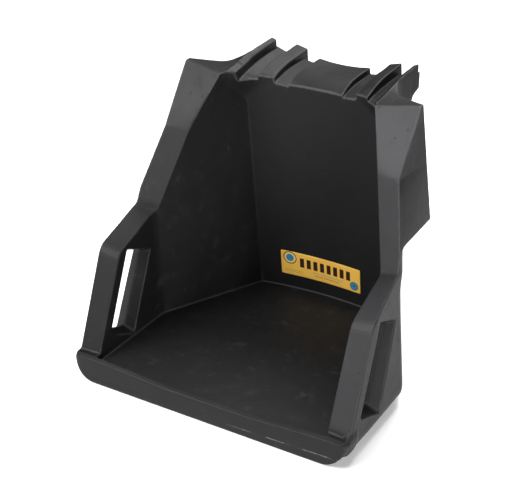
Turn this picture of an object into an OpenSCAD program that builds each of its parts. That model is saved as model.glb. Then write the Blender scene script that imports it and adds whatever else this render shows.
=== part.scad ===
// Dispensing shelf of a spill containment rack: one hollow plastic moulding with a basin that is
// open at the front and top, a carrying slot in each side wall and a ribbed drum cradle at the top
// rear. The moulding is divided along its own lines into hollow regions that meet face to face.
// +Z is up, the open front faces -Y, and the origin is under the middle of the footprint.

/* [Overall] */
// Width across the front sill
overall_w = 512; // [490:1:530]
// Depth from the sill's front to the cradle's rear edge
overall_d = 476; // [470:1:490]
// Thickness of the moulded skin
skin = 5; // [3:0.5:7]

/* [Basin] */
// Height of the basin floor
floor_z = 34; // [28:1:38]
// Height of the front sill
sill_h = 46; // [42:1:52]
// Depth of the front sill
sill_d = 23; // [18:1:28]
// Corner radius of the sill, seen from above
sill_corner_r = 20; // [15:1:35]
// Radius of the back wall's shallow curve
back_r = 620; // [500:10:1200]
// Distance of the back wall from the front, at floor height
back_foot_y = 410; // [400:1:414]
// Distance that the back wall leans forward over its height
back_lean = 52; // [30:1:60]

/* [Side walls] */
// Outer width across the side walls
body_w = 500; // [480:1:504]
// Thickness of the side walls
wall_t = 37; // [32:1:40]
// Height of the lower bend of the rim
low_bend_z = 206; // [200:1:212]
// Height of the kink, where the rim turns steep again
kink_z = 246; // [240:1:252]
// Underside of the rear boxes
box_z = 282; // [270:1:300]
// Height of the upper bend of the rim
high_bend_z = 380; // [370:1:390]
// Underside of the cradle head
deck_z = 425; // [420:1:428]
// Height of the flat shoulders
shoulder_z = 470; // [466:1:476]

/* [Carrying slots] */
// Length of the slot at the wall's faces
slot_len = 150; // [120:1:152]
// Width of the slot at the wall's faces
slot_w = 70; // [40:1:72]
// Depth of the grip bar in front of the slot
grip_d = 23; // [20:1:28]
// Taper of each slot face from the wall's surface to mid thickness
slot_taper = 8; // [2:1:10]

/* [Cradle] */
// Half width of the middle pad
pad_half = 49; // [45:1:52]
// Outer edge of the inner channel
inner_channel_x = 77; // [74:1:80]
// Outer edge of the inner rib
inner_rib_x = 99; // [96:1:103]
// Outer edge of the outer channel
outer_channel_x = 130; // [126:1:132]
// Outer side of the cradle head
head_x = 139; // [137:1:141]

/* [Label and plug] */
// Width of the label
label_w = 160; // [120:20:200]
// Height of the label
label_h = 50; // [40:1:60]
// Height of the label's lower edge
label_z = 62; // [50:1:90]
// Thickness of the label
label_t = 0.8; // [0.4:0.1:1.5]
// Radius of the vent plug's shank
plug_r = 8; // [6:0.5:10]

/* [Hidden] */
$fn = 64;

black = [0.13, 0.13, 0.14];
half_w = body_w / 2;
inner_x = half_w - wall_t;
rear_y = 436;          // rear face of the body, measured from the sill's front
head_rear_y = overall_d - 12;   // the inner ribs stand out behind the rest of the head

// Rim of the side wall: places of its outer and inner edge at each height.
rim_out_x = [[sill_h, half_w], [low_bend_z, half_w], [kink_z, half_w - 3],
             [high_bend_z, half_w - 36], [shoulder_z, half_w - 35.5]];
rim_in_x = [[sill_h, inner_x], [low_bend_z, inner_x], [kink_z, inner_x - 1],
            [high_bend_z, inner_x - 38], [shoulder_z, head_x + 1]];
rim_y = [[sill_h, sill_d], [low_bend_z, 90], [kink_z, 187], [high_bend_z, 238], [shoulder_z, 295]];
function rim_out(z) = [lookup(z, rim_out_x), lookup(z, rim_y)];
function rim_in(z) = [lookup(z, rim_in_x), lookup(z, rim_y)];

// Bend of the side wall below the kink, where the rear part turns in.
function bend_y(z) = 204 - 17 * (z - floor_z) / (kink_z - floor_z);

// Back wall: leans forward going up and follows a shallow arc.
function back_y(x, z) =
    back_foot_y - back_lean * (z - floor_z) / (shoulder_z - floor_z) - x * x / (2 * back_r);
function corner_x(z) = 122 + 4 * (z - floor_z) / (shoulder_z - floor_z);
function corner(z) = [corner_x(z), back_y(corner_x(z), z)];
// Planes that part the back wall's middle from its outer panels, and those from the side walls.
panel_x = 40;
split_x = 119;

// Rear corner of the box and of the lower wall.
function box_corner(z) = [233 - 19 * (z - box_z) / 190, 322 - 11 * (z - box_z) / 190];
function box_inset(z) = [178 - 20 * (z - box_z) / 190, 340 - (z - box_z) / 190];
function box_neck(z) = [135 + 4 * min(1, (z - box_z) / (deck_z - box_z)),
                        433 - 54 * (z - box_z) / (shoulder_z - box_z)];
wall_rear = [245, 217];
wall_rear_lean = 23;
rear_corner_x = 134;

// Lean of the lower rim, and how far up the rim from the sill the slot starts.
rim_lean = atan2(90 - sill_d, low_bend_z - sill_h);
slot_start = 30;

// --- helpers ---------------------------------------------------------------------------------

// Closed solid through rings of points. Every ring has the same number of points.
module skin_rings(rings) {
    n = len(rings[0]);
    m = len(rings);
    points = [for (r = rings) for (p = r) p];
    bottom = [[for (i = [0:n - 1]) i]];
    top = [[for (i = [n - 1:-1:0]) (m - 1) * n + i]];
    sides = [for (k = [0:m - 2]) for (i = [0:n - 1]) let (j = (i + 1) % n)
        each [[k * n + i, (k + 1) * n + i, (k + 1) * n + j],
              [k * n + i, (k + 1) * n + j, k * n + j]]];
    polyhedron(points, concat(bottom, sides, top));
}

function at_z(ring, z) = [for (p = ring) [p[0], p[1], z]];

// The ring moved inwards by t. The ring turns anticlockwise seen from above.
function edge_normal(a, b) = let (d = b - a) [-d[1], d[0]] / norm(d);
function meet(p, n, q, m) = let (det = n[0] * m[1] - n[1] * m[0], c = p * n, e = q * m)
    abs(det) < 0.02 ? (p + q) / 2 : [(c * m[1] - e * n[1]) / det, (e * n[0] - c * m[0]) / det];
function inset(ring, t) = let (n = len(ring)) [for (i = [0:n - 1])
    let (a = ring[(i + n - 1) % n], b = ring[i], c = ring[(i + 1) % n],
         u = edge_normal(a, b), v = edge_normal(b, c))
    meet(b + t * u, u, b + t * v, v)];

// Hollow region through plan rings at the given heights. The hollow follows its own rings where
// the region has a thin solid tail.
module hollow(rings, heights, cores = []) {
    last = len(rings) - 1;
    inner = len(cores) > 0 ? cores : rings;
    difference() {
        skin_rings([for (i = [0:last]) at_z(rings[i], heights[i])]);
        skin_rings([for (i = [0:last]) at_z(inset(inner[i], skin),
            heights[i] + (i == 0 ? skin : 0) - (i == last ? skin : 0))]);
    }
}

module place() {
    translate([0, -overall_d / 2, 0]) color(black) children();
}

module on_left() {
    mirror([1, 0, 0]) children();
}

// --- basin -----------------------------------------------------------------------------------

// Footprint under the walls, pulled in by the rounding at the given distance from its edge.
function footprint(pull) =
    let (right = [[half_w - pull, sill_d], [half_w - 0.5 - pull, 204 - pull / 4],
                  [wall_rear[0] - pull, wall_rear[1] - pull / 2],
                  [rear_corner_x - pull / 2, rear_y - pull / 2]])
    concat(right, [for (i = [3:-1:0]) [-right[i][0], right[i][1]]]);

module floor_pan() {
    place() hollow([for (p = [20, 8, 0, 0]) footprint(p)], [0, 6, 22, floor_z]);
}

module sill_profile() {
    polygon([[sill_d, 0], [5, 0], [1, 4], [0, 10], [0, 27], [2, 35], [8, 43], [15, sill_h],
             [sill_d, sill_h]]);
}

module sill_plan(w, r) {
    translate([-w / 2 + r, 0]) square([w - 2 * r, sill_d]);
    for (s = [-1, 1])
        intersection() {
            translate([s * (w / 2 - r), r]) circle(r);
            translate([-w / 2, 0]) square([w, sill_d]);
        }
}

module sill_solid(w, r, t) {
    intersection() {
        translate([-w / 2, 0, 0]) rotate([90, 0, 90]) linear_extrude(w)
            difference() {
                sill_profile();
                if (t > 0) difference() {
                    translate([-1, -1]) square([sill_d + 2, sill_h + 2]);
                    translate([t, t]) square([sill_d - 2 * t, sill_h - 3 * t]);
                }
            }
        linear_extrude(sill_h) sill_plan(w, r);
    }
}

module front_sill() {
    place() difference() {
        sill_solid(overall_w, sill_corner_r, 0);
        sill_solid(overall_w - 8 * skin, skin, skin);
    }
}

// --- side walls with their carrying slots ----------------------------------------------------

// Lower side wall: a plate seen from the side, from the sill to the bend.
function cheek_profile(t) =
    inset([[sill_d, floor_z], [204, floor_z], [187, kink_z], [90, low_bend_z], [sill_d, sill_h]], t);

module cheek_plate(t) {
    p = cheek_profile(t);
    skin_rings([[for (q = p) [inner_x + t, q[0], q[1]]],
                [for (q = p) [half_w - 3 * (q[1] - floor_z) / (kink_z - floor_z) - t, q[0], q[1]]]]);
}

// Slot cutter, widest at the wall's two faces and narrowest at mid thickness.
module slot_frame() {
    translate([0, sill_d, sill_h]) rotate([-rim_lean, 0, 0])
        translate([0, grip_d, slot_start]) children();
}

module slot_half(grow) {
    hull() {
        translate([0, slot_taper - grow, slot_taper - grow])
            cube([0.01, slot_w - 2 * slot_taper + 2 * grow, slot_len - 2 * slot_taper + 2 * grow]);
        translate([wall_t / 2 + 2, -grow, -grow]) cube([0.01, slot_w + 2 * grow, slot_len + 2 * grow]);
    }
}

module slot(grow) {
    translate([half_w - wall_t / 2, 0, 0]) slot_frame() {
        slot_half(grow);
        mirror([1, 0, 0]) slot_half(grow);
    }
}

// Box in front of the slot that parts the grip bar from the rest of the wall.
module grip_box() {
    translate([inner_x - 5, 0, 0]) slot_frame()
        translate([0, -grip_d - 5, 0]) cube([wall_t + 10, grip_d + 5, slot_len]);
}

module cheek_solid() {
    difference() {
        cheek_plate(0);
        difference() {
            cheek_plate(skin);
            slot(skin);
        }
        slot(0);
    }
}

module right_cheek() {
    place() difference() { cheek_solid(); grip_box(); }
}
module left_cheek() { on_left() right_cheek(); }

module right_handle() {
    place() intersection() { cheek_solid(); grip_box(); }
}
module left_handle() { on_left() right_handle(); }

// Rear part of the side wall, from the bend to the back corner, up to the rear box.
function side_ring(z) =
    let (lean = wall_rear_lean * (z - floor_z) / (box_z - floor_z),
         lower = z <= kink_z,
         y = lower ? bend_y(z) : rim_out(z)[1],
         out_x = lower ? half_w - 3 * (z - floor_z) / (kink_z - floor_z) : rim_out(z)[0],
         in_x = lower ? inner_x : rim_in(z)[0])
    [[in_x, y], [out_x, y],
     [lower ? wall_rear[0] : out_x - 0.5, lower ? wall_rear[1] - lean : y + 6],
     [rear_corner_x, rear_y], [split_x, rear_y], corner(z)];

module right_side_wall() {
    heights = [floor_z, kink_z, box_z];
    place() hollow([for (z = heights) side_ring(z)], heights);
}
module left_side_wall() { on_left() right_side_wall(); }

// --- back wall -------------------------------------------------------------------------------

// Plan of a stretch of the wall from x0 to x1. Stations across the curve let the label lie on it.
function back_ring(z, x0, x1) =
    concat([[x0, rear_y]], [for (x = [x0:10:x1]) [x, back_y(x, z)]], [[x1, rear_y]]);

module back_wall() {
    heights = [floor_z, deck_z];
    place() difference() {
        hollow([for (z = heights) back_ring(z, -panel_x, panel_x)], heights);
        translate([0, rear_y + 1, 300]) rotate([90, 0, 0]) cylinder(h = skin + 2, r = plug_r);
    }
}

// Outer stretch of the wall, up to the basin's back corner.
function panel_ring(z) =
    let (c = corner(z), ring = back_ring(z, panel_x, split_x - 9))
    concat([for (i = [0:len(ring) - 2]) ring[i]], [c, [split_x, rear_y]]);

module right_back_panel() {
    heights = [floor_z, deck_z];
    place() hollow([for (z = heights) panel_ring(z)], heights);
}
module left_back_panel() { on_left() right_back_panel(); }

module vent_plug() {
    translate([0, rear_y - overall_d / 2, 300]) rotate([90, 0, 0]) color([0.05, 0.05, 0.05]) {
        cylinder(h = skin, r = plug_r - 0.05);
        translate([0, 0, -2]) cylinder(h = 2, r = plug_r + 4);
    }
}

// Thin plate that follows the wall's curve and leans with it.
module label() {
    w = label_w / 2;
    lean = atan2(back_lean, shoulder_z - floor_z);
    function sag(x) = -x * x * cos(lean) / (2 * back_r);
    color([0.93, 0.68, 0.2]) translate([0, back_y(0, label_z) - overall_d / 2, label_z])
        rotate([lean, 0, 0]) linear_extrude(label_h)
            polygon(concat([for (x = [-w:10:w]) [x, sag(x) - label_t]],
                           [for (x = [w:-10:-w]) [x, sag(x)]]));
}

// --- rear boxes and shoulders ----------------------------------------------------------------

module right_rear_box() {
    heights = [box_z, high_bend_z, deck_z];
    place() hollow([for (z = heights)
        [rim_in(z), rim_out(z), box_corner(z), box_inset(z), corner(z)]], heights);
}
module left_rear_box() { on_left() right_rear_box(); }

// Solid post behind the box, which carries the side of the cradle head.
function post_rear_x(z) = lookup(z, [[box_z, rear_corner_x + 0.5], [deck_z, head_x]]);

module right_post() {
    heights = [box_z, high_bend_z, deck_z];
    place() skin_rings([for (z = heights)
        at_z([corner(z), box_inset(z), [post_rear_x(z), rear_y], [split_x, rear_y]], z)]);
}
module left_post() { on_left() right_post(); }

// Where the basin's side meets the cradle head's side.
function head_front_y(z) = 316 - 18 * (z - deck_z) / (shoulder_z - deck_z);

module right_shoulder() {
    heights = [deck_z, shoulder_z];
    place() hollow([for (z = heights) [rim_in(z), rim_out(z), box_corner(z), box_inset(z),
        [head_x, box_neck(z)[1]], [head_x, head_front_y(z)]]], heights,
        [for (z = heights) [rim_in(z), rim_out(z), box_corner(z), box_inset(z),
            [head_x, head_front_y(z) + 6]]]);
}
module left_shoulder() { on_left() right_shoulder(); }

// --- drum cradle -----------------------------------------------------------------------------

// Side view of a cradle bar: the top starts at z_front over the back wall, rolls over its front
// end and rises to z_rear. The ledge behind the body's rear face has a sloped underside.
function bar_profile(x, z_front, z_rear, rear) =
    let (y = x > corner_x(deck_z)
             ? lookup(x, [[corner_x(deck_z), corner(deck_z)[1]], [head_x, head_front_y(deck_z)]])
             : back_y(x, deck_z))
    [[x, y, deck_z], [x, rear_y, deck_z], [x, rear_y + 4, 433], [x, rear - 8, 439],
     [x, rear, 440], [x, rear, z_rear - 1], [x, rear - 3, z_rear],
     [x, 412, z_front + (z_rear - z_front) * 0.8], [x, 378, z_front + (z_rear - z_front) * 0.5],
     [x, y, z_front]];

module bar(x0, x1, front0, front1, rear0, rear1, rear = head_rear_y) {
    place() skin_rings([bar_profile(x0, front0, rear0, rear), bar_profile(x1, front1, rear1, rear)]);
}

module saddle_pad() {
    bar(-pad_half, pad_half, 443, 443, 459, 459);
}

module right_inner_channel() { bar(pad_half, inner_channel_x, 434, 438, 447, 450); }
module left_inner_channel() { on_left() right_inner_channel(); }

module right_inner_rib() {
    bar(inner_channel_x, inner_rib_x, 450, 455, 466, 471, rear = overall_d);
}
module left_inner_rib() { on_left() right_inner_rib(); }

module right_outer_channel() { bar(inner_rib_x, outer_channel_x, 445, 446, 456, 466); }
module left_outer_channel() { on_left() right_outer_channel(); }

module right_outer_rib() {
    bar(outer_channel_x, head_x, 462, 467, 480, 484, rear = head_rear_y - 7);
}
module left_outer_rib() { on_left() right_outer_rib(); }

// --- drawing ---------------------------------------------------------------------------------

floor_pan();
front_sill();
left_handle();
right_handle();
left_cheek();
right_cheek();
left_side_wall();
right_side_wall();
back_wall();
left_back_panel();
right_back_panel();
left_rear_box();
right_rear_box();
left_post();
right_post();
left_shoulder();
right_shoulder();
saddle_pad();
left_inner_channel();
right_inner_channel();
left_inner_rib();
right_inner_rib();
left_outer_channel();
right_outer_channel();
left_outer_rib();
right_outer_rib();
label();
vent_plug();
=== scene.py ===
"""Looks of the dispensing shelf: one seamless black moulding, its label and its vent plug.

The moulding is built as a signed distance field: smooth unions and cuts of its faces, turned into a
mesh and pulled exactly onto the field. Lengths are in millimetres, with y measured back from the
sill's front and x from the mirror plane. Meshes are moved to the row frame, in metres, at the end.
"""

import math

import bpy
import numpy as np
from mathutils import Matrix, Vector


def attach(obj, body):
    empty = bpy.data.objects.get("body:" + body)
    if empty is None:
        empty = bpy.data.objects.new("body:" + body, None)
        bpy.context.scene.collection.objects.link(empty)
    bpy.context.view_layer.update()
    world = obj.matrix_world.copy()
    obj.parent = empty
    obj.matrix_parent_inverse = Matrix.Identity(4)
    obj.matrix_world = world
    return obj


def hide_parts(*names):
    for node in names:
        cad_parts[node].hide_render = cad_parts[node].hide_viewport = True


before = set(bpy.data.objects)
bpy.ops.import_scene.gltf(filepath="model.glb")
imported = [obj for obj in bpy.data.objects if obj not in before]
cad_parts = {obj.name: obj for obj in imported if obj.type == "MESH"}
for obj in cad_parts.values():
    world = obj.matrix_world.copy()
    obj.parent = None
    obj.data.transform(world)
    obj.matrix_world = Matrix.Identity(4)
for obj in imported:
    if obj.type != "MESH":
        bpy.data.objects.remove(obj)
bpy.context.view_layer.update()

# --- sizes ----------------------------------------------------------------------------------------
# Most are as in the CAD model. The sill's half width, the rim's tables, the side's taper and the
# cradle's widths follow the photo more closely and differ from it.

OVERALL_D = 476.0
SHIFT_Y = -OVERALL_D / 2
FLOOR_Z = 34.0
SILL_H, SILL_D, SILL_HALF_W, SILL_CORNER_R = 46.0, 23.0, 257.0, 20.0
HALF_W, INNER_X = 250.0, 213.0
WALL_MID_X = (HALF_W + INNER_X) / 2
KINK_Z, BOX_Z, DECK_Z, SHOULDER_Z = 246.0, 282.0, 425.0, 470.0
REAR_Y = 436.0
HEAD_X = 139.0
BACK_R, BACK_FOOT_Y, BACK_LEAN = 620.0, 410.0, 52.0
SLOT_LEN, SLOT_W, SLOT_START, GRIP_D, SLOT_TAPER = 150.0, 70.0, 30.0, 23.0, 8.0
LABEL_W, LABEL_H, LABEL_Z, LABEL_SHIFT = 160.0, 50.0, 62.0, -2.0
PLUG_Z = 300.0
BOX_RISE = 190.0  # height over which the rear box's plan draws in
BACK_CORNER_X, BACK_CORNER_SPREAD = 122, 4
BEND_Y, BEND_LEAN = 204, 17
TAPER_START_Y, TAPER_LEN = 100, 110
HEAD_REAR_Y, OUTER_RIB_REAR_Y = 464, 457
PAD_HALF_W, RIB_X, RIB_HALF_W, OUTER_RIB_X = 50.3, 89.3, 12.3, 128.6
CHANNEL_SPLIT_X = 88  # between the inner and the outer channel, under the rib
BASIN_FRONT_Y, BASIN_FRONT_R, SIDE_BEND_R = 15.0, 5.0, 4.0
WALL_EDGE_R, CRADLE_EDGE_R = 2.2, 1.6
BACK_TRUE = 0.993  # turns depth from the leaning back wall into distance
SLOT_CORNER_R, SLOT_WAIST, SLOT_DEPTH_MAX, SLOT_TRUE = 5.0, 2.0, 1.05, 0.92
SLOT_PAST_WALL = 5  # how far inside the wall's inner face the slot's cut ends
FINE_STEP, QUICK_STEP = 2.25, 4.0  # grid of the moulding's mesh
GRID_HALF_W, GRID_D, GRID_H, GRID_START = 266, 496, 508, -8.0

# The rim of the side wall, seen from the side, from the sill up: y, z and the radius of each bend.
RIM = [(23, 46, 0), (90, 206, 34), (187, 246, 9), (238, 380, 22), (295, 470, 0)]
RIM_OUT_X = ([46, 206, 246, 380, 470], [252.4, 251.2, 248.5, 214.3, 214.5])
RIM_IN_X = ([46, 206, 246, 380, 470], [213, 213, 212, 175, 140])
RIM_Y = ([46, 206, 246, 380, 470], [23, 90, 187, 238, 295])
RIM_LEAN = math.atan2(90 - SILL_D, 206 - SILL_H)
# How far the rim's outer edge stands ahead of and above its middle line, at each height.
RIM_TILT_Y = ([46, 206, 246, 380, 470], [-1.5, -1, -4.5, -4, 2])
RIM_TILT_Z = ([46, 206, 246, 380, 470], [0, 3, 6, 2, 0])
RIM_EDGE_R = ([46, 120, 206, 380], [5, 4, 2.2, 1.6])  # rounding of the rim's outer edge
EDGE_GROWTH = 0.8  # makes up for what the rounding of the outer edges takes away
# How far the outer side face has drawn in at the wall's rear edge, at each height.
REAR_TAPER = ([40, 110, 206, 246, 282], [2, 4.4, 8.4, 4.6, 5])


# --- signed distance helpers: negative inside ---------------------------------------------------

def cut(a, b, r):
    """Where both shapes are, with the edge between them rounded to radius r."""
    u, v = np.maximum(a + r, 0), np.maximum(b + r, 0)
    return np.minimum(-r, np.maximum(a, b)) + np.sqrt(u * u + v * v)


def join(a, b, r):
    """Where either shape is, with a fillet of radius r between them."""
    return -cut(-a, -b, r)


def ramp(v, low, high):
    """Smooth step from 0 at low to 1 at high."""
    t = np.clip((v - low) / (high - low), 0, 1)
    return t * t * (3 - 2 * t)


def lerp(a, b, t):
    return a + (b - a) * t


def curve(v, stops, heights):
    """Smooth curve through the heights at the stops, level beyond the ends."""
    stops, heights = np.array(stops, float), np.array(heights, float)
    slopes = np.gradient(heights, stops)
    v = np.clip(v, stops[0], stops[-1])
    i = np.clip(np.searchsorted(stops, v) - 1, 0, len(stops) - 2)
    width = stops[i + 1] - stops[i]
    t = (v - stops[i]) / width
    rise = heights[i + 1] - heights[i]
    start, end = slopes[i] * width, slopes[i + 1] * width
    return heights[i] + t * (start + t * (3 * rise - 2 * start - end + t * (start + end - 2 * rise)))


def line(px, py, a, b):
    """Distance to the right of the line from a to b, in plan. The ends may vary with height."""
    dx, dy = b[0] - a[0], b[1] - a[1]
    return ((px - a[0]) * dy - (py - a[1]) * dx) / np.sqrt(dx * dx + dy * dy)


def polygon(px, py, points):
    """Signed distance to a closed polygon."""
    best = np.full(np.broadcast(px, py).shape, 1e12)
    sign = np.ones_like(best)
    for (ax, ay), (bx, by) in zip(points, points[1:] + points[:1]):
        ex, ey = bx - ax, by - ay
        wx, wy = px - ax, py - ay
        t = np.clip((wx * ex + wy * ey) / (ex * ex + ey * ey), 0, 1)
        best = np.minimum(best, (wx - ex * t) ** 2 + (wy - ey * t) ** 2)
        above, below, left = py >= ay, py < by, ex * wy > ey * wx
        flip = (above & below & left) | (~above & ~below & ~left)
        sign = np.where(flip, -sign, sign)
    return sign * np.sqrt(best)


def rounded_path(corners, steps=5):
    """Points along a bent line whose corners are (u, v, radius)."""
    path = []
    for i, (u, v, r) in enumerate(corners):
        here = np.array([u, v], float)
        if r == 0 or i in (0, len(corners) - 1):
            path.append((u, v))
            continue
        back = np.array(corners[i - 1][:2], float) - here
        ahead = np.array(corners[i + 1][:2], float) - here
        back, ahead = back / np.linalg.norm(back), ahead / np.linalg.norm(ahead)
        half = math.acos(np.clip(back @ ahead, -1, 1)) / 2
        reach = r / math.tan(half)
        centre = here + (back + ahead) / np.linalg.norm(back + ahead) * r / math.sin(half)
        start, end = here + back * reach - centre, here + ahead * reach - centre
        turn = math.acos(np.clip(start @ end / r ** 2, -1, 1))
        for k in range(steps + 1):
            t = k / steps
            spot = (math.sin((1 - t) * turn) * start + math.sin(t * turn) * end) / math.sin(turn)
            path.append(tuple(centre + spot))
    return path


# --- the moulding's faces ------------------------------------------------------------------------

def rim_out(z):
    return np.interp(z, *RIM_OUT_X), np.interp(z, *RIM_Y)


def rim_in(z):
    return np.interp(z, *RIM_IN_X), np.interp(z, *RIM_Y)


def back_y(x, z):
    """Front of the back wall: leans forward going up and follows a shallow arc."""
    return BACK_FOOT_Y - BACK_LEAN * (z - FLOOR_Z) / (SHOULDER_Z - FLOOR_Z) - x * x / (2 * BACK_R)


def corner(z):
    x = BACK_CORNER_X + BACK_CORNER_SPREAD * (z - FLOOR_Z) / (SHOULDER_Z - FLOOR_Z)
    return x, back_y(x, z)


def bend(z):
    """Where the side wall's inner face turns in towards the back corner."""
    low_y = BEND_Y - BEND_LEAN * (z - FLOOR_Z) / (KINK_Z - FLOOR_Z)
    x, rim_y = rim_in(z)
    return x, np.where(z < KINK_Z, low_y, rim_y)


def basin(x, y, z):
    """The hollow, open at the front and top."""
    side = cut(x - np.interp(z, *RIM_IN_X), line(x, y, bend(z), corner(z)), SIDE_BEND_R)
    back = (y - back_y(x, z)) * BACK_TRUE
    corner_r = 2.5 + 50 * ramp(z, 380, 462) ** 2
    walls = cut(side, back, corner_r)
    floor = FLOOR_Z - z
    return cut(cut(walls, floor, WALL_EDGE_R), BASIN_FRONT_Y - y, BASIN_FRONT_R)


def side_face(x, y, z):
    """Outer side: upright below the kink, then from the rim's outer edge to the box's rear corner."""
    taper = np.interp(z, *REAR_TAPER)
    drawn_in = taper * np.clip((y - TAPER_START_Y) / TAPER_LEN, 0, 1)
    lower = x - (np.interp(z, *RIM_OUT_X) + EDGE_GROWTH - drawn_in)
    upper = line(x, y, rim_out(z), box_corner(z)) - EDGE_GROWTH
    return lerp(lower, upper, ramp(z, KINK_Z, BOX_Z))


def box_corner(z):
    k = (z - BOX_Z) / BOX_RISE
    return 233 - 19 * k, 323 - 11 * k


def box_inset(z):
    k = (z - BOX_Z) / BOX_RISE
    return 178 - 20 * k, 341 - k


def box_neck(z):
    return (135 + 4 * np.clip((z - BOX_Z) / (DECK_Z - BOX_Z), 0, 1),
            433 - 54 * np.clip((z - BOX_Z) / (SHOULDER_Z - BOX_Z), 0, 1))


def body(x, y, z):
    """Outer volume below the top faces, without the sill and the cradle head."""
    rear_edge = (249.5 - np.interp(z, *REAR_TAPER), 217 - 23 * (z - FLOOR_Z) / (BOX_Z - FLOOR_Z))
    inset, neck = box_inset(z), box_neck(z)
    high = z > BOX_Z
    start = np.where(high, inset[0], rear_edge[0]), np.where(high, inset[1], rear_edge[1])
    end = np.where(high, neck[0], 134.0), np.where(high, neck[1], REAR_Y)
    flank = line(x, y, start, end)
    rear_block = join(flank, x - neck[0], 6.0)
    rear_block = cut(rear_block, y - REAR_Y, 10.0)
    box = cut(line(x, y, box_corner(z), inset), BOX_Z - z, 3.0)
    whole = join(rear_block, box, 5.0)
    whole = cut(whole, side_face(x, y, z), 3.0)
    return cut(whole, -z, 18 + 18 * ramp(x, 190, 225) * ramp(y, 300, 200))


# All that lies behind the rim. Its last line runs on past the shoulder, well clear of the part.
BEHIND_RIM = ([(SILL_D, -200.0)] + rounded_path(RIM)
              + [(466, 740), (900.0, 740.0), (900.0, -200.0)])

# The sill's section at its ends: an upright lower face, a crease, then a face that leans back.
SILL_PROFILE = rounded_path([(40, -60, 0), (0, -60, 0), (-0.4, 20, 2), (6.5, 43, 3), (14, 46, 4),
                             (40, 46, 0)])
CREASE_Z, CREASE_MID_Z, CREASE_RISE, SILL_SAG = 20.0, 12.5, 6.5, 7.0
HEAD_PROFILE = rounded_path([(250, 385, 0), (436, 385, 0), (436, 425, 6), (441, 434, 5), (457, 439, 5),
                             (464, 441, 3), (464, 520, 0), (250, 520, 0)])

# Heights along the cradle's bars: y, then z.
PAD_Z = ([352, 361, 379, 398, 421, 464], [439, 444, 451.5, 456.5, 458.8, 460])
INNER_Z = ([345, 352, 370, 400, 430, 464], [435, 438.5, 443.5, 449, 450.5, 450.5])
RIB_Z = ([340, 351, 384, 409, 453, 476], [447, 450.5, 459.5, 463.5, 466.2, 468])
OUTER_LOW_Z = ([320, 341, 370, 400, 430, 464], [441, 445.5, 450, 453, 454.5, 456])
OUTER_HIGH_Z = ([320, 330, 359, 386, 422, 464], [444, 447.5, 455.5, 461, 465, 466.5])
# Heights along the shoulder's top at four widths.
TOP_X = (130, 139, 165, 214)
TOP_Z = [([300, 323, 349, 380, 412, 456], [462, 464.5, 468.5, 474.5, 478, 481]),
         ([292, 325, 350, 378, 414, 456], [466.5, 469.5, 474, 479.5, 482, 484.5]),
         ([292, 322, 350, 400, 414, 456], [469.5, 471.2, 473, 479, 480, 482]),
         ([292, 322, 350, 400, 414, 456], [476.5, 476.5, 477, 478.5, 478.5, 478])]


def crease_z(x):
    """Height of the sill's crease, where the two halves of the mould met. It is not quite level."""
    return CREASE_MID_Z + CREASE_RISE * x / HALF_W


def sill(x, y, z, crease):
    top = SILL_H - SILL_SAG * (1 - ramp(x, 60, 215))
    above = (z - crease) * (SILL_H - CREASE_Z) / (top - crease)
    profile = cut(polygon(y, CREASE_Z + np.where(z > crease, above, z - crease), SILL_PROFILE), -z, 5.0)
    qx, qy = x - (SILL_HALF_W - SILL_CORNER_R), SILL_CORNER_R - y
    plan = (np.sqrt(np.maximum(qx, 0) ** 2 + np.maximum(qy, 0) ** 2)
            + np.minimum(np.maximum(qx, qy), 0) - SILL_CORNER_R)
    low_end = cut(x - SILL_HALF_W, -z - 1, 54.0)
    return cut(cut(profile, plan, 7.0), low_end, 2.0)


def shoulder_top(x, y):
    """Height of the shoulder: flat beside the box, rising to the outer rib at the rear."""
    heights = [np.interp(y, *row) for row in TOP_Z]
    top = heights[0] + 0 * x
    for i in range(3):
        across = np.clip((x - TOP_X[i]) / (TOP_X[i + 1] - TOP_X[i]), 0, 1)
        top = top + (heights[i + 1] - heights[i]) * across
    return top


def cradle_top(x, y, z):
    """Distance above the head's top: two pairs of channels between the pad and the ribs."""
    sag = 4 * np.clip(1 - (x / 48) ** 2, 0, 1) * ramp(y, 370, 460)
    inner = z - curve(y, *INNER_Z) - 0.15 * (x - 60)
    outer_z = lerp(curve(y, *OUTER_LOW_Z), curve(y, *OUTER_HIGH_Z), (x - 100) / 30)
    channels = cut(np.where(x < CHANNEL_SPLIT_X, inner, z - outer_z), y - HEAD_REAR_Y, 1.5)
    pad_side = x - PAD_HALF_W + 0.08 * (z - 440)
    pad = cut(cut(pad_side, z - curve(y, *PAD_Z) + sag, CRADLE_EDGE_R), y - HEAD_REAR_Y, 1.5)
    rib_side = np.abs(x - RIB_X) - RIB_HALF_W + 0.07 * (z - 455)
    rib = cut(rib_side, z - curve(y, *RIB_Z) - 0.25 * (x - 78), CRADLE_EDGE_R)
    outer_side = OUTER_RIB_X - x + 0.05 * (z - 460)
    outer_rib = cut(cut(outer_side, z - shoulder_top(x, y), CRADLE_EDGE_R), y - OUTER_RIB_REAR_Y, 1.5)
    bars = np.minimum(np.minimum(pad, rib), outer_rib)
    return join(channels, bars, CRADLE_EDGE_R)


def head(x, y, z):
    rib_rear = np.where(np.abs(x - RIB_X) < 18, 12.0, 0.0)  # the ribs reach farther back
    block = cut(polygon(y - rib_rear, z, HEAD_PROFILE), x - HEAD_X - 0.2, 2.0)
    return cut(block, cradle_top(x, y, z), CRADLE_EDGE_R)


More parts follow.
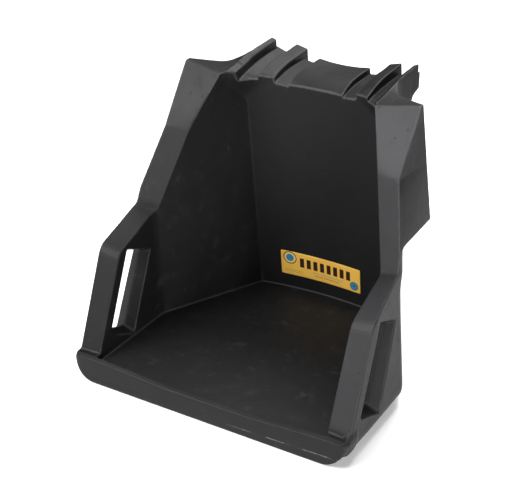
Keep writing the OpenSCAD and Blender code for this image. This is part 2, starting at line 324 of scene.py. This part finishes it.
def slot(x, y, z):
    """Carrying slot, widest at the wall's faces and narrowest at mid thickness."""
    across = (y - SILL_D) * math.cos(RIM_LEAN) - (z - SILL_H) * math.sin(RIM_LEAN)
    along = (y - SILL_D) * math.sin(RIM_LEAN) + (z - SILL_H) * math.cos(RIM_LEAN)
    depth = np.sqrt((x - WALL_MID_X) ** 2 + SLOT_WAIST ** 2) / (HALF_W - WALL_MID_X)
    shrink = SLOT_TAPER * (1 - np.minimum(depth, SLOT_DEPTH_MAX))
    r = SLOT_CORNER_R
    qx = np.abs(across - GRIP_D - SLOT_W / 2) - (SLOT_W / 2 - shrink - r)
    qy = np.abs(along - SLOT_START - SLOT_LEN / 2) - (SLOT_LEN / 2 - shrink - r)
    hole = (np.sqrt(np.maximum(qx, 0) ** 2 + np.maximum(qy, 0) ** 2)
            + np.minimum(np.maximum(qx, qy), 0) - r) * SLOT_TRUE
    return np.maximum(hole, INNER_X - SLOT_PAST_WALL - x)


def rim_side(x, y, z):
    """Distance ahead of the rim's faces, which are slightly twisted."""
    out_x, in_x = np.interp(z, *RIM_OUT_X), np.interp(z, *RIM_IN_X)
    across = np.clip((x - in_x) / (out_x - in_x) * 2 - 1, -1.5, 1.3)
    ahead, above = across * np.interp(z, *RIM_TILT_Y), across * np.interp(z, *RIM_TILT_Z)
    return polygon(y - ahead, z - above, BEHIND_RIM)


def moulding(x, y, z):
    """Signed distance to the whole moulding."""
    crease = crease_z(x)
    end_fillet = 2 + 9 * ramp(x, 238, 250)
    x = np.abs(x)
    shape = cut(body(x, y, z), rim_side(x, y, z), np.interp(z, *RIM_EDGE_R))
    shape = cut(shape, z - shoulder_top(np.maximum(x, 130), y), 2.4)
    inner_cut = cut(x - 130.5, -cradle_top(x, y, z), CRADLE_EDGE_R)
    shape = cut(shape, -np.maximum(inner_cut, DECK_Z - 10 - z), CRADLE_EDGE_R)
    shape = join(shape, head(x, y, z), 1.5)
    shape = join(shape, sill(x, y, z, crease), end_fillet)
    shape = cut(shape, -basin(x, y, z), WALL_EDGE_R)
    return cut(shape, -slot(x, y, z), WALL_EDGE_R)


# --- field to mesh --------------------------------------------------------------------------------

CHUNK = 400000  # points worked on at a time
CELL_CORNERS = [(i, j, k) for i in (0, 1) for j in (0, 1) for k in (0, 1)]
CELL_EDGES = [(a, b) for a in range(8) for b in range(a + 1, 8)
              if sum(abs(p - q) for p, q in zip(CELL_CORNERS[a], CELL_CORNERS[b])) == 1]


def sample(field, low, step, shape, coarse=4):
    """Field values on a grid. Only cells near the surface are sampled finely."""
    blocks = [-(-n // coarse) for n in shape]
    centres = [low[i] + (np.arange(blocks[i]) + 0.5) * step * coarse for i in range(3)]
    gx, gy, gz = np.meshgrid(*centres, indexing="ij")
    rough = field(gx, gy, gz)
    near = np.abs(rough) < step * coarse * 1.35 + 3
    for axis in range(3):
        near = near.repeat(coarse, axis)
        rough = rough.repeat(coarse, axis)
    near = near[:shape[0], :shape[1], :shape[2]]
    values = np.sign(rough[:shape[0], :shape[1], :shape[2]]) * 50.0
    i, j, k = np.nonzero(near)
    found = np.empty(len(i))
    for start in range(0, len(i), CHUNK):
        part = slice(start, start + CHUNK)
        found[part] = field(low[0] + i[part] * step, low[1] + j[part] * step, low[2] + k[part] * step)
    values[i, j, k] = found
    return values


def surface_net(values, low, step):
    """Quads through the cells that the surface crosses."""
    inside = values < 0
    n = [s - 1 for s in values.shape]
    count = np.zeros(n, np.int8)
    for i, j, k in CELL_CORNERS:
        count += inside[i:i + n[0], j:j + n[1], k:k + n[2]]
    ci, cj, ck = np.nonzero((count > 0) & (count < 8))
    index = np.full(n, -1, np.int32)
    index[ci, cj, ck] = np.arange(len(ci))
    corner_values = [values[ci + i, cj + j, ck + k] for i, j, k in CELL_CORNERS]
    total, hits = np.zeros((len(ci), 3)), np.zeros(len(ci))
    for a, b in CELL_EDGES:
        va, vb = corner_values[a], corner_values[b]
        crossed = (va < 0) != (vb < 0)
        t = np.where(crossed, va / np.where(crossed, va - vb, 1), 0)[:, None]
        spot = np.array(CELL_CORNERS[a]) * (1 - t) + np.array(CELL_CORNERS[b]) * t
        total += np.where(crossed[:, None], spot, 0)
        hits += crossed
    points = (np.stack([ci, cj, ck], 1) + total / hits[:, None]) * step + np.array(low)
    quads = []
    for axis in range(3):
        u, v = (axis + 1) % 3, (axis + 2) % 3
        here = [slice(None)] * 3
        ahead = [slice(None)] * 3
        here[axis], ahead[axis] = slice(0, -1), slice(1, None)
        here[u] = ahead[u] = here[v] = ahead[v] = slice(1, -1)
        a, b = inside[tuple(here)], inside[tuple(ahead)]
        edge = np.stack(np.nonzero(a != b), 1)
        leaving = a[tuple(edge.T)]
        edge[:, u] += 1
        edge[:, v] += 1
        ring = []
        for du, dv in ((1, 1), (0, 1), (0, 0), (1, 0)):
            cell = edge.copy()
            cell[:, u] -= du
            cell[:, v] -= dv
            ring.append(index[tuple(cell.T)])
        ring = np.stack(ring, 1)
        quads.append(np.where(leaving[:, None], ring, ring[:, ::-1]))
    return points, np.concatenate(quads)


def gradient(field, p, h=0.35):
    parts = []
    for axis in range(3):
        step = np.zeros(3)
        step[axis] = h
        ahead, back = p + step, p - step
        parts.append((field(*ahead.T) - field(*back.T)) / (2 * h))
    return np.stack(parts, 1)


def settle(field, p, most, rounds=3):
    """Moves points onto the surface, each by no more than most, and gives their normals."""
    start = p.copy()
    for _ in range(rounds):
        g = gradient(field, p)
        p = p - g * (field(*p.T) / np.maximum((g * g).sum(1), 0.2))[:, None]
        away = p - start
        far = np.linalg.norm(away, axis=1, keepdims=True)
        p = start + away * np.minimum(1, most / np.maximum(far, 1e-9))
    g = gradient(field, p)
    return p, g / np.maximum(np.linalg.norm(g, axis=1, keepdims=True), 1e-9)


def bulge(field, p, h=1.6):
    """How sharply the surface bends, per millimetre: above 0 on edges, below 0 in corners."""
    total = -6 * field(*p.T)
    for axis in range(3):
        step = np.zeros(3)
        step[axis] = h
        total = total + field(*(p + step).T) + field(*(p - step).T)
    return total / h ** 2


def wear_and_highlight(p, bend_at):
    """How pale each point is made: edges of the cradle and upper rims, partly wear and partly
    painted highlight, and corners near the floor, a painted highlight.
    """
    x, y, z = np.abs(p[:, 0]), p[:, 1], p[:, 2]
    outer_edge = 0.6 * ramp(x - np.interp(z, *RIM_OUT_X), -8, -4) * ramp(z, 240, 260)
    near_floor = 0.4 * ramp(-z, -60, -50) * ramp(y, 16, 20)
    cradle = ramp(z, 425, 440) * (0.4 + 0.6 * ramp(-y, -374, -360) * ramp(-x, -135, -125))
    return ramp(np.abs(bend_at), 0.06, 0.34) * np.clip(outer_edge + near_floor + cradle, 0, 1)


def painted_rim_light(p):
    """Painted light on the rims: the whole right one, most at its top, and the left one's top."""
    x, y, z = p.T
    rim = ramp(-np.abs(rim_side(np.abs(x), y, z)), -2.5, -0.5) * ramp(z, 48, 58)
    left = 0.35 * ramp(z, 244, 262)
    return rim * np.where(x > 0, 0.5 + 0.5 * ramp(z, 370, 390), left)


def dull_and_shade(p, normals, bend_at):
    """Duller faces with painted shade, where light barely falls: back wall, corners beside it and the
    cradle's ends.
    """
    x, y, z = np.abs(p[:, 0]), p[:, 1], p[:, 2]
    back = ramp(-np.abs(y - back_y(x, z)), -4, -1) * ramp(z, 36, 40)
    ends = ramp(z, 430, 436) * ramp(-x, -152, -146) * ramp(np.sign(p[:, 0]) * normals[:, 0], 0.5, 0.8)
    corners = ramp(-bend_at, 0.05, 0.25) * ramp(z, 50, 60) * ramp(-z, -440, -420) * ramp(y, 240, 260)
    return np.maximum(np.maximum(back, ends), corners)


def to_frame(p):
    """Millimetres from the sill's front to metres in the row frame."""
    return (np.asarray(p, float) + [0, SHIFT_Y, 0]) / 1000


def mesh_piece(name, points, faces, normals=None):
    mesh = bpy.data.meshes.new(name)
    mesh.from_pydata(to_frame(points).tolist(), [], [list(map(int, f)) for f in faces])
    mesh.validate()
    mesh.polygons.foreach_set("use_smooth", [True] * len(mesh.polygons))
    if normals is not None:
        mesh.normals_split_custom_set_from_vertices(normals.tolist())
    mesh.update()
    piece = bpy.data.objects.new(name, mesh)
    bpy.context.scene.collection.objects.link(piece)
    return piece


def build_moulding():
    step = FINE_STEP
    low = [-step * math.ceil(GRID_HALF_W / step) - step / 2, GRID_START, GRID_START]
    shape = [int(2 * abs(low[0]) / step) + 1, int(GRID_D / step) + 2, int(GRID_H / step) + 2]
    points, quads = surface_net(sample(moulding, low, step, shape), low, step)
    points, normals = settle(moulding, points, step * 0.9)
    piece = mesh_piece("moulding", points, quads, normals)
    bend_at = bulge(moulding, points)
    looks = {"wear_and_highlight": wear_and_highlight(points, bend_at),
             "painted_rim_light": painted_rim_light(points),
             "dull_and_shade": dull_and_shade(points, normals, bend_at),
             "crease": points[:, 2] - crease_z(points[:, 0])}
    for name, values in looks.items():
        piece.data.attributes.new(name, "FLOAT", "POINT").data.foreach_set("value", values)
    return piece


def grid_faces(rows, columns, around=False):
    """Quads of a grid of points. A grid that goes around joins its last column to its first."""
    last = columns if around else columns - 1
    return [(i * columns + j, i * columns + (j + 1) % columns,
             (i + 1) * columns + (j + 1) % columns, (i + 1) * columns + j)
            for i in range(rows - 1) for j in range(last)]


def build_label():
    """Film that follows the back wall, with rounded corners and an edge that dips to the wall."""
    radius, edge, film = 2.0, 0.4, 0.8
    lean = math.atan2(BACK_LEAN, SHOULDER_Z - FLOOR_Z)
    half_u, half_v = LABEL_W / 2, LABEL_H / 2

    def stations(half, count):
        inner = np.linspace(edge - half, half - edge, count)
        return np.concatenate([[-half, -half], inner, [half, half]])

    u, v = np.meshgrid(stations(half_u, 80), stations(half_v, 26))
    rows, columns = u.shape
    rim = np.minimum(half_u - np.abs(u), half_v - np.abs(v))
    proud = np.where(rim < edge / 2, film - 0.25, film)
    proud[[0, -1], :] = -0.4
    proud[:, [0, -1]] = -0.4
    qu, qv = np.abs(u) - (half_u - radius), np.abs(v) - (half_v - radius)
    corner_zone = (qu > 0) & (qv > 0)
    pull = np.where(corner_zone, np.maximum(qu, qv) / np.maximum(np.hypot(qu, qv), 1e-9), 1)
    u = np.where(corner_zone, np.sign(u) * (half_u - radius + qu * pull), u)
    v = np.where(corner_zone, np.sign(v) * (half_v - radius + qv * pull), v)
    x = u + LABEL_SHIFT
    z = LABEL_Z + (v + half_v) * math.cos(lean)
    points = np.stack([x, back_y(x, z) - proud, z], -1).reshape(-1, 3)
    return mesh_piece("label_film", points, grid_faces(rows, columns))


def build_plug():
    """Vent plug in the rear face: knurled flange, groove and a slotted button."""
    profile = [(7.9, -1.5), (7.9, 0), (11.7, 0), (12, 0.4), (12, 1.3), (11.5, 1.8), (9.8, 2), (9.3, 1.6),
               (8.8, 1.1), (8.2, 1.1), (7.8, 1.5), (7.3, 1.95), (6.6, 2), (5.6, 2), (4.4, 2), (3.2, 2),
               (2.4, 2), (1.8, 2), (1.2, 2), (0.6, 2), (0.01, 2)]
    turns = 96
    points = []
    for r, h in profile:
        for k in range(turns):
            t = 2 * math.pi * k / turns
            knurl = 1 + 0.012 * math.sin(24 * t) * (r > 11)
            px, pz = r * knurl * math.cos(t), r * knurl * math.sin(t)
            slot_depth = 1.1 * (r < 6) * float(1 - ramp(abs(pz), 0.7, 1.5))
            points.append((px, REAR_Y + h - slot_depth, PLUG_Z + pz))
    return mesh_piece("plug_button", np.array(points), grid_faces(len(profile), turns, around=True))


# --- materials -------------------------------------------------------------------------------------

class Nodes:
    """Short way to write a material's node tree."""

    def __init__(self, name):
        self.material = bpy.data.materials.new(name)
        self.material.use_nodes = True
        self.tree = self.material.node_tree
        self.tree.nodes.clear()
        self.surface = self.add("ShaderNodeBsdfPrincipled")
        out = self.add("ShaderNodeOutputMaterial")
        self.wire(self.surface.outputs["BSDF"], out.inputs["Surface"])

    def add(self, kind, **settings):
        node = self.tree.nodes.new(kind)
        for key, value in settings.items():
            setattr(node, key, value)
        return node

    def wire(self, source, target):
        self.tree.links.new(source, target)

    def put(self, target, value):
        if isinstance(value, bpy.types.NodeSocket):
            self.wire(value, target)
        else:
            target.default_value = value

    def math(self, operation, a, b=0.0, c=0.0):
        node = self.add("ShaderNodeMath", operation=operation)
        for target, value in zip(node.inputs, (a, b, c)):
            self.put(target, value)
        return node.outputs[0]

    def noise(self, scale, detail=3.0, rough=0.5):
        node = self.add("ShaderNodeTexNoise")
        node.inputs["Scale"].default_value = scale
        node.inputs["Detail"].default_value = detail
        node.inputs["Roughness"].default_value = rough
        self.wire(self.place, node.inputs["Vector"])
        return node.outputs["Fac"]

    @property
    def place(self):
        if not hasattr(self, "_place"):
            self._place = self.add("ShaderNodeTexCoord").outputs["Object"]
        return self._place

    def split(self):
        node = self.add("ShaderNodeSeparateXYZ")
        self.wire(self.place, node.inputs["Vector"])
        return node

    def band(self, value, low, high):
        """0 below low, 1 above high, smooth between."""
        node = self.add("ShaderNodeMapRange", interpolation_type="SMOOTHSTEP")
        self.put(node.inputs["Value"], value)
        node.inputs["From Min"].default_value = low
        node.inputs["From Max"].default_value = high
        return node.outputs["Result"]

    def mix(self, factor, a, b):
        node = self.add("ShaderNodeMix", data_type="RGBA")
        self.put(node.inputs["Factor"], factor)
        self.put(node.inputs["A"], a)
        self.put(node.inputs["B"], b)
        return node.outputs["Result"]

    def blend(self, factor, a, b):
        node = self.add("ShaderNodeMix", data_type="FLOAT")
        self.put(node.inputs["Factor"], factor)
        self.put(node.inputs["A"], a)
        self.put(node.inputs["B"], b)
        return node.outputs["Result"]

    def bump(self, height, strength, distance, normal=None):
        node = self.add("ShaderNodeBump")
        node.inputs["Strength"].default_value = strength
        node.inputs["Distance"].default_value = distance
        self.wire(height, node.inputs["Height"])
        if normal is not None:
            self.wire(normal, node.inputs["Normal"])
        return node.outputs["Normal"]


def moulding_material():
    """Black polyethylene: fine satin grain, cloudy sheen, scuffs and small pits.

    The mesh's own values make edges paler, partly wear and partly painted highlight, paint light on
    the rims and shade on faces the light barely reaches, make those faces duller, and draw a painted
    highlight along the mould's seam on the right part of the sill's front.
    """
    deep, lifted = (0.004, 0.004, 0.0043, 1), (0.007, 0.007, 0.0075, 1)
    scuffed, painted_light_grey = (0.03, 0.03, 0.033, 1), (0.042, 0.042, 0.045, 1)
    worn_highlight_pale, seam_highlight_pale = (0.10, 0.10, 0.105, 1), (0.12, 0.12, 0.125, 1)
    pit_dark = (0.010, 0.010, 0.010, 1)
    n = Nodes("black_polyethylene")
    cloud = n.noise(9, 4, 0.55)
    grain = n.noise(900, 2, 0.6)
    wave = n.noise(14, 2, 0.4)
    mottle = n.noise(60, 4, 0.6)
    scuff = n.band(n.noise(34, 6, 0.72), 0.54, 0.70)
    pits = n.add("ShaderNodeTexVoronoi", feature="F1")
    pits.inputs["Scale"].default_value = 42
    n.wire(n.place, pits.inputs["Vector"])
    pit = n.band(pits.outputs["Distance"], 0.13, 0.07)
    worn_and_lit, rim_lit, matt_and_shade, rise = (n.add("ShaderNodeAttribute", attribute_name=name).outputs["Fac"]
                               for name in ("wear_and_highlight", "painted_rim_light", "dull_and_shade", "crease"))
    worn_and_lit = n.math("MULTIPLY", worn_and_lit, n.blend(mottle, 0.35, 0.75))
    # Painted highlight: a pale line along the mould's seam on the right part of the sill's front.
    spot = n.split()
    on_front = n.band(n.math("MULTIPLY", spot.outputs["Y"], -1000), -SHIFT_Y - 6, -SHIFT_Y - 3)
    on_front = n.math("MULTIPLY", on_front, n.band(spot.outputs["X"], 0.03, 0.11))
    seam_highlight = n.math("MULTIPLY", n.band(n.math("ABSOLUTE", rise), 1.1, 0.3), on_front)
    # Painted shade: scuffs fade on the back wall, its corners and the cradle's ends, so these read
    # darker.
    scuff = n.math("MULTIPLY", scuff, n.blend(matt_and_shade, 1.0, 0.2))
    base = n.mix(cloud, deep, lifted)
    scuff_share = n.blend(n.band(cloud, 0.4, 0.65), 0.1, 0.5)
    base = n.mix(n.math("MULTIPLY", scuff, scuff_share), base, scuffed)
    # Painted light: the rims made paler where light falls on them, most on the right rim.
    base = n.mix(n.math("MULTIPLY", rim_lit, n.blend(mottle, 0.7, 1.0)), base, painted_light_grey)
    # Partly wear, partly painted highlight: paler lines along edges and in corners near the floor.
    base = n.mix(n.math("MULTIPLY", worn_and_lit, 0.85), base, worn_highlight_pale)
    base = n.mix(n.math("MULTIPLY", seam_highlight, n.band(mottle, 0.42, 0.58)), base, seam_highlight_pale)
    base = n.mix(n.math("MULTIPLY", pit, 0.5), base, pit_dark)
    n.wire(base, n.surface.inputs["Base Color"])
    rough = n.math("ADD", n.blend(cloud, 0.47, 0.56), n.math("MULTIPLY", matt_and_shade, 0.15))
    rough = n.math("ADD", rough, n.math("MULTIPLY", mottle, 0.08))
    rough = n.math("ADD", rough, n.math("MULTIPLY", scuff, 0.10))
    n.wire(rough, n.surface.inputs["Roughness"])
    n.surface.inputs["Specular IOR Level"].default_value = 0.28
    normal = n.bump(wave, 0.5, 0.004)
    normal = n.bump(mottle, 0.35, 0.0010, normal)
    normal = n.bump(grain, 0.25, 0.00015, normal)
    normal = n.bump(n.math("SUBTRACT", 1.0, pit), 0.5, 0.0006, normal)
    n.wire(normal, n.surface.inputs["Normal"])
    return n.material


def label_material():
    """Amber film with plain marks: a ringed disc, a row of upright bars, rules and a small dot."""
    n = Nodes("printed_film")
    split = n.split()
    u = n.math("MULTIPLY_ADD", split.outputs["X"], 1000, LABEL_W / 2 - LABEL_SHIFT)
    v = n.math("MULTIPLY_ADD", split.outputs["Z"], 1000, -LABEL_Z)

    def inside(value, low, high, soft=0.25):
        rising = n.band(value, low - soft, low + soft)
        return n.math("MULTIPLY", rising, n.band(value, high + soft, high - soft))

    def bar(low_u, high_u, low_v, high_v):
        return n.math("MULTIPLY", inside(u, low_u, high_u), inside(v, low_v, high_v))

    def reach(at_u, at_v):
        du, dv = n.math("SUBTRACT", u, at_u), n.math("SUBTRACT", v, at_v)
        return n.math("SQRT", n.math("ADD", n.math("MULTIPLY", du, du), n.math("MULTIPLY", dv, dv)))

    ink, blue, brown = (0.035, 0.010, 0.005, 1), (0.035, 0.23, 0.42, 1), (0.30, 0.14, 0.02, 1)
    tone = n.noise(45, 4, 0.6)
    base = n.mix(tone, (0.88, 0.50, 0.070, 1), (0.95, 0.58, 0.105, 1))
    emblem, dot = reach(17.5, 36.5), reach(147, 12.5)
    base = n.mix(n.band(emblem, 11.0, 10.4), base, (0.90, 0.64, 0.22, 1))
    base = n.mix(inside(emblem, 11.2, 13.0), base, ink)
    base = n.mix(n.band(emblem, 8.0, 7.2), base, blue)
    for k in range(8):
        left = 37 + 13.4 * k
        base = n.mix(bar(left, left + 8.2, 20.5, 39.5), base, ink)
    base = n.mix(n.math("MULTIPLY", bar(62, 124, 13, 15.5), 0.6), base, (0.36, 0.33, 0.30, 1))
    base = n.mix(bar(66, 117, 8.2, 9.4), base, brown)
    for low_v in (10.5, 7.0):
        base = n.mix(n.math("MULTIPLY", bar(7, 42, low_v, low_v + 1.0), 0.6), base, brown)
    base = n.mix(n.band(dot, 8.6, 8.0), base, blue)
    base = n.mix(inside(dot, 7.4, 8.6), base, (0.03, 0.06, 0.10, 1))
    base = n.mix(n.band(dot, 2.2, 1.6), base, (0.02, 0.05, 0.12, 1))
    n.wire(base, n.surface.inputs["Base Color"])
    n.wire(n.blend(tone, 0.30, 0.42), n.surface.inputs["Roughness"])
    n.wire(n.bump(n.noise(120, 3), 0.12, 0.0003), n.surface.inputs["Normal"])
    return n.material


def plug_material():
    """Smooth black plastic with faint turning marks and dust."""
    n = Nodes("plug_plastic")
    dust = n.noise(260, 4, 0.65)
    n.wire(n.mix(n.band(dust, 0.55, 0.75), (0.014, 0.014, 0.015, 1), (0.045, 0.045, 0.047, 1)),
           n.surface.inputs["Base Color"])
    n.wire(n.blend(dust, 0.24, 0.40), n.surface.inputs["Roughness"])
    n.wire(n.bump(n.noise(1400, 2), 0.2, 0.0001), n.surface.inputs["Normal"])
    return n.material


# --- pieces ----------------------------------------------------------------------------------------

def add_piece(piece, material, stands_for):
    piece.data.materials.append(material)
    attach(piece, "root")
    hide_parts(*stands_for)


add_piece(build_moulding(), moulding_material(),
          [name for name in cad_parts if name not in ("label", "vent_plug")])
add_piece(build_label(), label_material(), ["label"])
add_piece(build_plug(), plug_material(), ["vent_plug"])


# --- stage, light and camera -------------------------------------------------------------------------

FLOOR_HALF, FLOOR_GLOW = 6.0, 0.3  # the glow lifts the shadow, as on a light table
MIDDLE = (0, 0, 0.25)
# Name, place and aim in metres, width in metres, power in watts.
LIGHTS = [("top", (0, 0, 3.0), MIDDLE, 2.0, 36),
          ("front_left", (-2.2, -2.2, 1.8), MIDDLE, 1.4, 11),
          ("key", (-1.1, -1.8, 1.9), (0, 0, 0.35), 1.3, 74),
          ("low_right", (1.8, -1.3, 0.25), (0.1, -0.1, 0.15), 0.8, 38),
          ("rear_high", (0, 1.6, 3.0), (0, 0, 0.3), 1.2, 76),
          ("back", (0, 2.8, 2.2), MIDDLE, 1.6, 28)]
CAMERA_AZIMUTH, CAMERA_ELEVATION = 31.01, 27.0  # degrees
CAMERA_SPOT = (0.9210, (SHIFT_Y - 1360.9) / 1000, 1.1598)
FOCAL_PX, WIDTH_PX, SENSOR_MM = 1257.1, 512, 36.0


def add_floor():
    half = FLOOR_HALF
    mesh = bpy.data.meshes.new("floor")
    mesh.from_pydata([(-half, -half, 0), (half, -half, 0), (half, half, 0), (-half, half, 0)], [],
                     [(0, 1, 2, 3)])
    floor = bpy.data.objects.new("floor", mesh)
    bpy.context.scene.collection.objects.link(floor)
    n = Nodes("pale_floor")
    n.surface.inputs["Base Color"].default_value = (0.93, 0.93, 0.93, 1)
    n.surface.inputs["Roughness"].default_value = 0.8
    n.surface.inputs["Specular IOR Level"].default_value = 0.1
    n.surface.inputs["Emission Color"].default_value = (1, 1, 1, 1)
    n.surface.inputs["Emission Strength"].default_value = FLOOR_GLOW
    mesh.materials.append(n.material)


def add_light(name, spot, aim, size, power):
    data = bpy.data.lights.new(name, "AREA")
    data.shape, data.size, data.energy = "DISK", size, power
    lamp = bpy.data.objects.new(name, data)
    lamp.location = spot
    lamp.rotation_euler = (Vector(aim) - Vector(spot)).to_track_quat("-Z", "Y").to_euler()
    bpy.context.scene.collection.objects.link(lamp)


def add_camera(azimuth, elevation, spot, focal_px, width_px):
    data = bpy.data.cameras.new("camera")
    data.sensor_width = SENSOR_MM
    data.lens = SENSOR_MM * focal_px / width_px
    data.clip_end = 50
    camera = bpy.data.objects.new("camera", data)
    a, e = math.radians(azimuth), math.radians(elevation)
    ahead = Vector((-math.sin(a) * math.cos(e), math.cos(a) * math.cos(e), -math.sin(e)))
    camera.location = spot
    camera.rotation_euler = ahead.to_track_quat("-Z", "Y").to_euler()
    bpy.context.scene.collection.objects.link(camera)
    bpy.context.scene.camera = camera


add_floor()
world = bpy.data.worlds.new("studio")
bpy.context.scene.world = world
world.use_nodes = True
world.node_tree.nodes["Background"].inputs["Strength"].default_value = 0.0
for light in LIGHTS:
    add_light(*light)
add_camera(CAMERA_AZIMUTH, CAMERA_ELEVATION, CAMERA_SPOT, FOCAL_PX, WIDTH_PX)
bpy.context.scene.view_settings.view_transform = "Standard"
